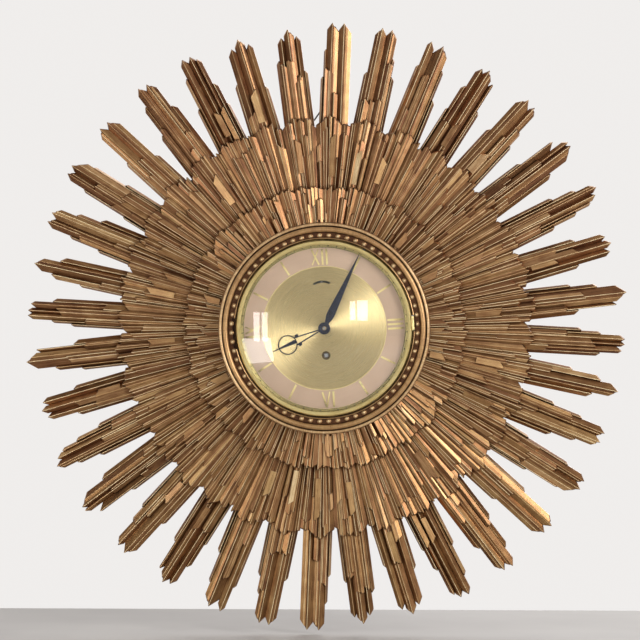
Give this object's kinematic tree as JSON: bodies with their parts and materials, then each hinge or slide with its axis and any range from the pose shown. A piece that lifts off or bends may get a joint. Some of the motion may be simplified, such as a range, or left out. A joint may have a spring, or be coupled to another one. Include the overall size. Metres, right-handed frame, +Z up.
{
  "type": "sunburst wall clock",
  "caption": "Gilt sunburst wall clock with a key-wound lever movement, hinged domed glass, Roman dial and a hanging wire.",
  "frame": {"origin": "inside of the hanging wire's top, where it bears on its nail, at the wall's surface", "axes": "+Z up, +Y into the wall, +X to the right as seen from the front"},
  "size_m": [0.7022, 0.0712, 0.7108],
  "materials": {
    "gilt_frame": "bronze-gilt paint with dark glaze",
    "brass": "polished",
    "dial_brass": "spun satin",
    "silvered": "satin champagne silver",
    "movement_brass": "lacquered",
    "steel": "polished",
    "spring_steel": "tempered",
    "blued_steel": "blue-black",
    "zinc": "dull plated",
    "wire": "dark annealed",
    "glass": "clear",
    "ruby": "polished"
  },
  "bodies": {
    "case": {"sunburst_frame": "gilt_frame", "hanging_wire": "wire", "wire_eyes": "zinc", "dial_pan": "movement_brass", "pan_screws": "steel", "back_cover": "zinc", "cover_screws": "zinc", "hinge_leaf": "movement_brass", "hinge_pin": "steel", "hinge_screws": "steel", "dial_plate": "dial_brass", "chapter_ring": "silvered", "hour_numerals": "brass", "hour_batons": "brass", "minute_dots": "brass", "dial_feet": "movement_brass", "front_plate": "movement_brass", "back_plate": "movement_brass", "plate_pillars": "movement_brass", "plate_nuts": "steel", "click_screw": "steel", "click_spring": "spring_steel", "pallet_bridge": "movement_brass", "hairspring": "spring_steel", "hairspring_stud": "steel", "regulator_bush": "movement_brass", "minute_wheel_post": "steel"},
    "bezel": {"bezel_ring": "brass", "domed_glass": "glass", "glass_retainer": "brass"},
    "minute": {"centre_arbor": "steel", "centre_wheel": "movement_brass", "cannon_pinion": "steel", "minute_hand": "blued_steel", "hand_nut": "brass"},
    "hour": {"hour_wheel": "movement_brass", "hour_hand": "blued_steel"},
    "motion": {"minute_wheel": "movement_brass"},
    "barrel": {"spring_barrel": "movement_brass", "barrel_cover": "movement_brass", "mainspring": "spring_steel"},
    "winding": {"winding_arbor": "steel", "ratchet_wheel": "steel"},
    "click": {"click": "steel"},
    "intermediate": {"intermediate_wheel": "movement_brass", "intermediate_pinion": "steel"},
    "third": {"third_wheel": "movement_brass", "third_pinion": "steel"},
    "fourth": {"fourth_wheel": "movement_brass", "fourth_pinion": "steel"},
    "escape": {"escape_wheel": "steel", "escape_pinion": "steel"},
    "lever": {"pallet_lever": "steel", "pallet_arbor": "steel", "pallet_stones": "ruby"},
    "balance": {"balance_wheel": "movement_brass", "balance_staff": "steel", "impulse_roller": "steel"},
    "regulator": {"regulator_lever": "steel"}
  },
  "joints": [
    {"name": "bezel_door", "type": "hinge", "parent": "case", "child": "bezel", "pos_m": [0.10281, -0.0594, -0.25071], "axis": [-0.061, 0, 0.9981], "range_deg": [0, 110]},
    {"name": "minute_hand_turn", "type": "hinge", "parent": "case", "child": "minute", "pos_m": [0, -0.053, -0.257], "axis": [0, 1, 0], "continuous": true},
    {"name": "hour_hand_turn", "type": "hinge", "parent": "case", "child": "hour", "pos_m": [0, -0.051, -0.257], "axis": [0, 1, 0], "continuous": true},
    {"name": "minute_wheel_turn", "type": "hinge", "parent": "case", "child": "motion", "pos_m": [0.00966, -0.0445, -0.26182], "axis": [0, 1, 0], "continuous": true},
    {"name": "intermediate_turn", "type": "hinge", "parent": "case", "child": "intermediate", "pos_m": [0.01493, -0.035, -0.26705], "axis": [0, 1, 0], "continuous": true},
    {"name": "barrel_turn", "type": "hinge", "parent": "case", "child": "barrel", "pos_m": [0.00194, -0.026, -0.28864], "axis": [0, 1, 0], "continuous": true},
    {"name": "third_turn", "type": "hinge", "parent": "case", "child": "third", "pos_m": [-0.01611, -0.029, -0.24897], "axis": [0, 1, 0], "continuous": true},
    {"name": "fourth_turn", "type": "hinge", "parent": "case", "child": "fourth", "pos_m": [-0.02488, -0.0244, -0.23541], "axis": [0, 1, 0], "continuous": true},
    {"name": "escape_turn", "type": "hinge", "parent": "case", "child": "escape", "pos_m": [-0.01521, -0.027, -0.22777], "axis": [0, 1, 0], "continuous": true},
    {"name": "winding_turn", "type": "hinge", "parent": "case", "child": "winding", "pos_m": [0.00194, -0.047, -0.28864], "axis": [0, 1, 0], "range_deg": [0, 2304]},
    {"name": "click_lift", "type": "hinge", "parent": "case", "child": "click", "pos_m": [0.01564, -0.0155, -0.28009], "axis": [0, 1, 0], "range_deg": [0, 11], "stiffness_Nm_per_rad": 0.0005},
    {"name": "lever_rock", "type": "hinge", "parent": "case", "child": "lever", "pos_m": [-0.00946, -0.027, -0.22522], "axis": [0, 1, 0], "range_deg": [-5, 5]},
    {"name": "balance_swing", "type": "hinge", "parent": "case", "child": "balance", "pos_m": [-0.00214, -0.032, -0.22207], "axis": [0, 1, 0], "range_deg": [-135, 135], "stiffness_Nm_per_rad": 0.00004},
    {"name": "regulator_move", "type": "hinge", "parent": "case", "child": "regulator", "pos_m": [-0.00214, -0.0436, -0.22207], "axis": [0, 1, 0], "range_deg": [-22, 22]}
  ],
  "couplings": [
    {"joint": "hour_hand_turn", "follows": "minute_hand_turn", "ratio": 0.083333},
    {"joint": "minute_wheel_turn", "follows": "minute_hand_turn", "ratio": -0.33333},
    {"joint": "intermediate_turn", "follows": "minute_hand_turn", "ratio": -0.2},
    {"joint": "barrel_turn", "follows": "minute_hand_turn", "ratio": 0.033333},
    {"joint": "third_turn", "follows": "minute_hand_turn", "ratio": -8},
    {"joint": "fourth_turn", "follows": "minute_hand_turn", "ratio": 60},
    {"joint": "escape_turn", "follows": "minute_hand_turn", "ratio": -600}
  ]
}
